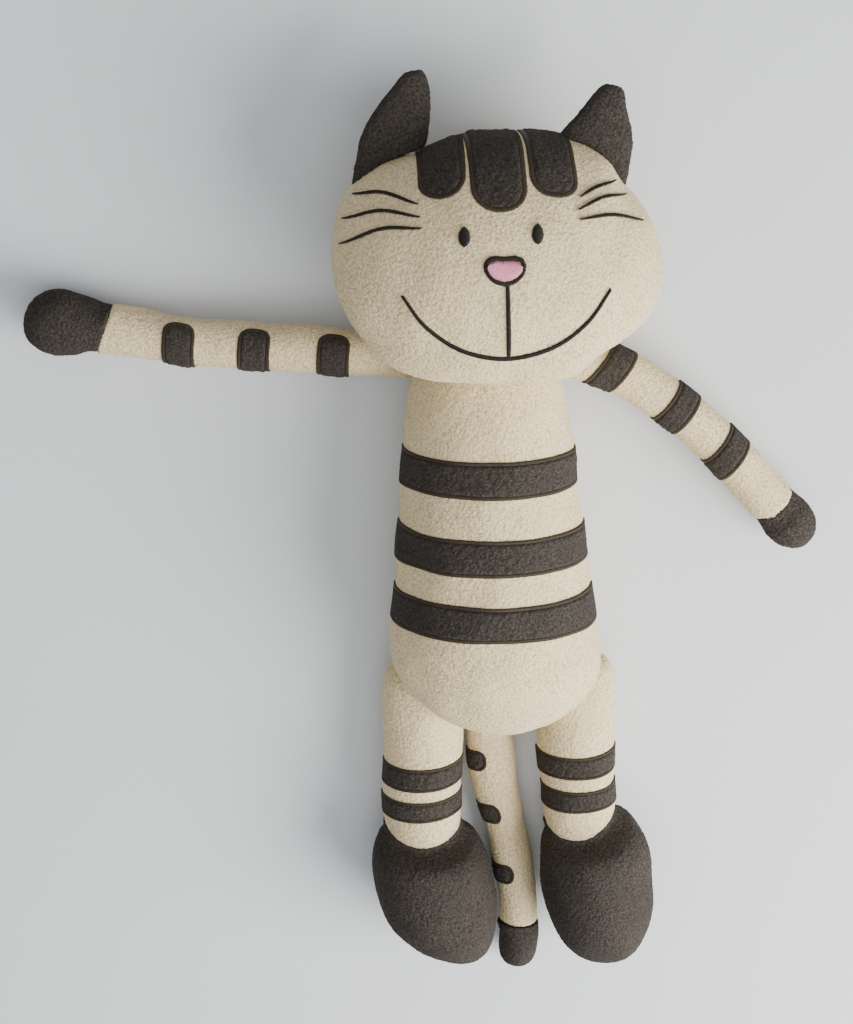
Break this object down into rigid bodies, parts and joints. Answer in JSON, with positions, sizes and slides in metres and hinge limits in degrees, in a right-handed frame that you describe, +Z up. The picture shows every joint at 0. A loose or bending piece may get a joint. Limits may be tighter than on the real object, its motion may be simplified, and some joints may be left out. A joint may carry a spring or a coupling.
{
  "type": "plush cat",
  "caption": "Soft striped plush cat with a wide head, long thin arms, round dark feet and a long tail, shown lying on its back.",
  "frame": {"origin": "on the flat patch of the back that rests on the floor, level with the middle of the chest", "axes": "+Z up from the floor to the face, +Y from the feet to the head, +X to the right as seen from the front"},
  "size_m": [0.3189, 0.3856, 0.0886],
  "materials": {
    "cream_terry": "short looped pile, cream flecked with grey",
    "dark_terry": "short looped pile, warm dark grey",
    "fibre_stuffing": "loose polyester fibre",
    "black_thread": "satin-stitch embroidery",
    "pink_satin": "satin-stitch embroidery",
    "sewing_thread": "hand-sewn thread"
  },
  "bodies": {
    "torso": {"torso_front_panel": "cream_terry", "torso_back_panel": "cream_terry", "torso_stuffing": "fibre_stuffing", "chest_band_upper": "dark_terry", "chest_band_middle": "dark_terry", "chest_band_lower": "dark_terry", "closing_seam_thread": "sewing_thread"},
    "head": {"head_front_panel": "cream_terry", "head_back_panel": "cream_terry", "head_stuffing": "fibre_stuffing", "forehead_patch_left": "dark_terry", "forehead_patch_middle": "dark_terry", "forehead_patch_right": "dark_terry", "nose_pad": "pink_satin", "nose_outline": "black_thread", "philtrum_thread": "black_thread", "mouth_thread": "black_thread", "eye_left": "black_thread", "eye_right": "black_thread", "whiskers_left": "black_thread", "whiskers_right": "black_thread"},
    "ear_left": {"ear_left_front": "dark_terry", "ear_left_back": "dark_terry"},
    "ear_right": {"ear_right_front": "dark_terry", "ear_right_back": "dark_terry"},
    "arm_left": {"arm_left_sleeve": "cream_terry", "arm_left_stuffing": "fibre_stuffing", "arm_left_patches": "dark_terry"},
    "paw_left": {"paw_left_cover": "dark_terry", "paw_left_stuffing": "fibre_stuffing"},
    "arm_right": {"arm_right_sleeve": "cream_terry", "arm_right_stuffing": "fibre_stuffing", "arm_right_patches": "dark_terry"},
    "paw_right": {"paw_right_cover": "dark_terry", "paw_right_stuffing": "fibre_stuffing"},
    "leg_left": {"leg_left_sleeve": "cream_terry", "leg_left_stuffing": "fibre_stuffing", "leg_left_band_upper": "dark_terry", "leg_left_band_lower": "dark_terry"},
    "foot_left": {"foot_left_cover": "dark_terry", "foot_left_stuffing": "fibre_stuffing"},
    "leg_right": {"leg_right_sleeve": "cream_terry", "leg_right_stuffing": "fibre_stuffing", "leg_right_band_upper": "dark_terry", "leg_right_band_lower": "dark_terry"},
    "foot_right": {"foot_right_cover": "dark_terry", "foot_right_stuffing": "fibre_stuffing"},
    "tail": {"tail_sleeve": "cream_terry", "tail_stuffing": "fibre_stuffing", "tail_spots": "dark_terry", "tail_tip_cover": "dark_terry", "tail_tip_stuffing": "fibre_stuffing"}
  },
  "joints": [
    {"name": "head_nod", "type": "hinge", "parent": "torso", "child": "head", "pos_m": [-0.0027, 0.048, 0.031], "axis": [1, 0, 0], "range_deg": [-3, 15]},
    {"name": "ear_left_fold", "type": "hinge", "parent": "head", "child": "ear_left", "pos_m": [-0.04359, 0.14298, 0.043], "axis": [0.8378, 0.5459, 0], "range_deg": [-12, 15], "stiffness_Nm_per_rad": 0.02},
    {"name": "ear_right_fold", "type": "hinge", "parent": "head", "child": "ear_right", "pos_m": [0.03955, 0.14544, 0.043], "axis": [0.8176, -0.5758, 0], "range_deg": [-12, 15], "stiffness_Nm_per_rad": 0.02},
    {"name": "shoulder_left_swing", "type": "hinge", "parent": "torso", "child": "arm_left", "pos_m": [-0.036, 0.0618, 0.0215], "axis": [0, 0, 1], "range_deg": [-8, 60]},
    {"name": "wrist_left_bend", "type": "hinge", "parent": "arm_left", "child": "paw_left", "pos_m": [-0.155, 0.0718, 0.0146], "axis": [0, 0, 1], "range_deg": [-18, 18]},
    {"name": "shoulder_right_swing", "type": "hinge", "parent": "torso", "child": "arm_right", "pos_m": [0.0325, 0.061, 0.0215], "axis": [0, 0, 1], "range_deg": [-30, 35]},
    {"name": "wrist_right_bend", "type": "hinge", "parent": "arm_right", "child": "paw_right", "pos_m": [0.1126, 0.0009, 0.0145], "axis": [0, 0, 1], "range_deg": [-18, 18]},
    {"name": "hip_left_lift", "type": "hinge", "parent": "torso", "child": "leg_left", "pos_m": [-0.0268, -0.084, 0.019], "axis": [-1, 0, 0], "range_deg": [0, 25]},
    {"name": "ankle_left_flex", "type": "hinge", "parent": "leg_left", "child": "foot_left", "pos_m": [-0.0276, -0.135, 0.0225], "axis": [-1, 0, 0], "range_deg": [-5, 15]},
    {"name": "hip_right_lift", "type": "hinge", "parent": "torso", "child": "leg_right", "pos_m": [0.036, -0.081, 0.0185], "axis": [-1, 0, 0], "range_deg": [0, 25]},
    {"name": "ankle_right_flex", "type": "hinge", "parent": "leg_right", "child": "foot_right", "pos_m": [0.0386, -0.133, 0.0225], "axis": [-1, 0, 0], "range_deg": [-5, 15]},
    {"name": "tail_swing", "type": "hinge", "parent": "torso", "child": "tail", "pos_m": [0.0005, -0.095, 0.0105], "axis": [1, 0, 0], "range_deg": [0, 60]}
  ]
}
